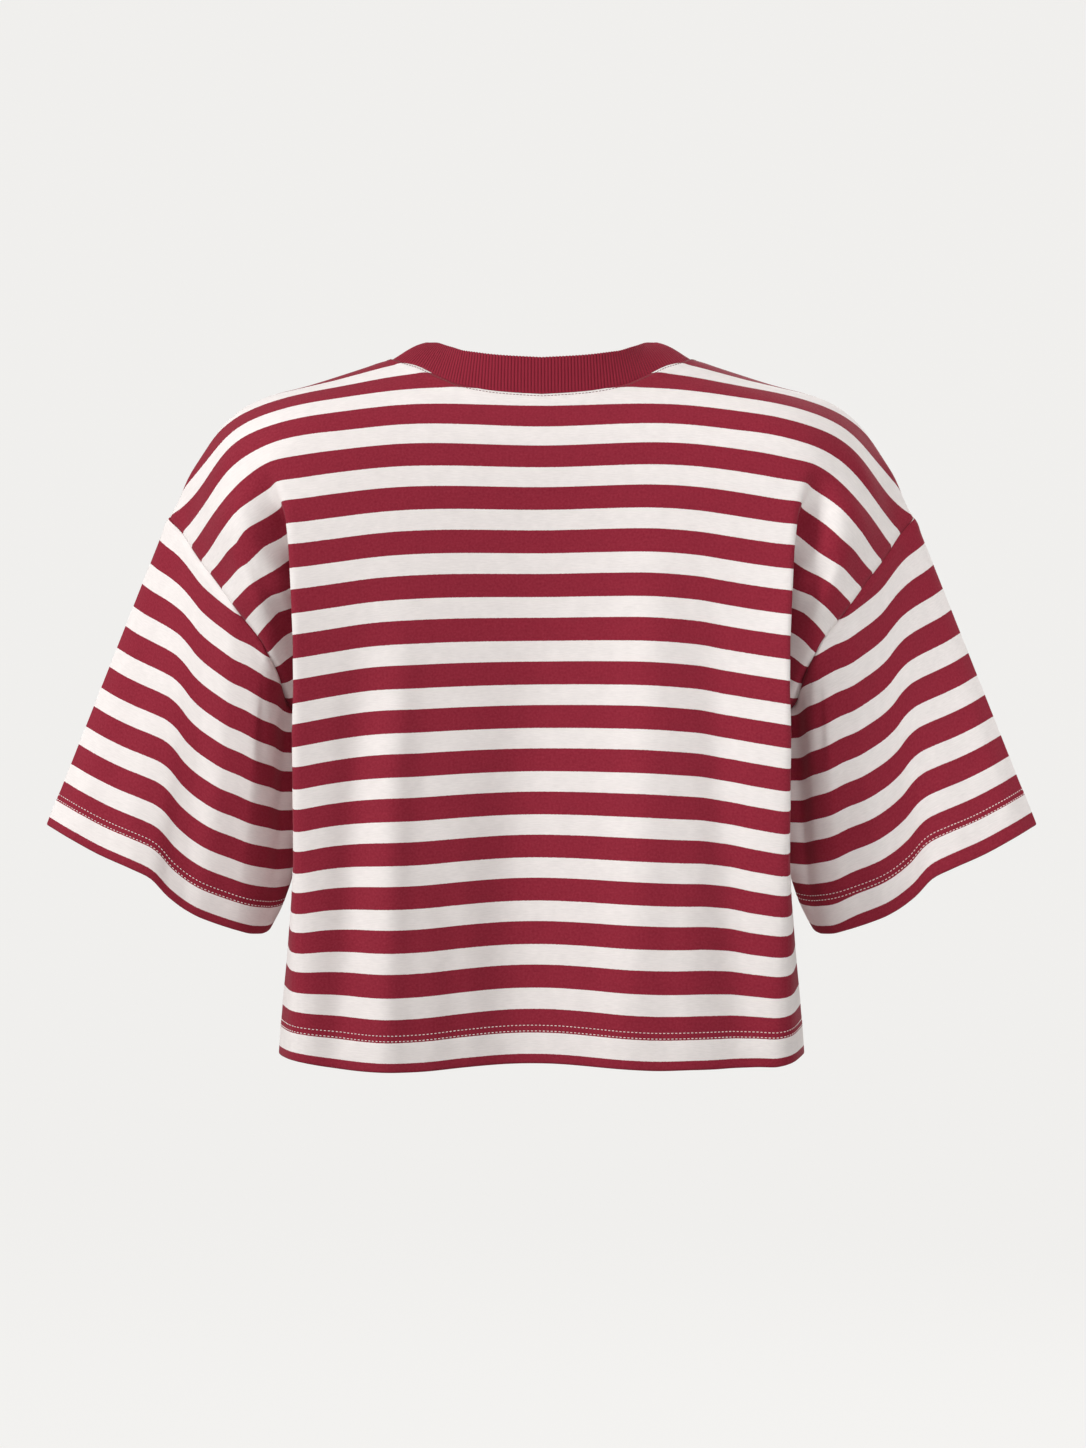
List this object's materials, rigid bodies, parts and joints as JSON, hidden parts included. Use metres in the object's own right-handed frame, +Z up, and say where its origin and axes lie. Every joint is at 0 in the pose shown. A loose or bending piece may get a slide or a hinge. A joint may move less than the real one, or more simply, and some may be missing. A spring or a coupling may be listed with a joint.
{
  "type": "crop top",
  "caption": "Boxy cropped short-sleeved T-shirt in horizontally striped jersey, with dropped shoulders, wide sleeves and a tall ribbed crew neckband, hollow in its worn shape.",
  "frame": {"origin": "base of the neck, on the middle plane and level with the high points of the shoulders", "axes": "+X to the wearer's right, +Y to the wearer's front, +Z up"},
  "size_m": [0.706, 0.2065, 0.5107],
  "materials": {
    "striped_jersey": "matt heavy cotton jersey, cream with burgundy stripes",
    "burgundy_rib": "matt ribbed cotton, burgundy"
  },
  "bodies": {
    "root": {"back": "striped_jersey", "front": "striped_jersey", "sleeve_left": "striped_jersey", "sleeve_right": "striped_jersey", "neckband": "burgundy_rib"}
  },
  "joints": []
}
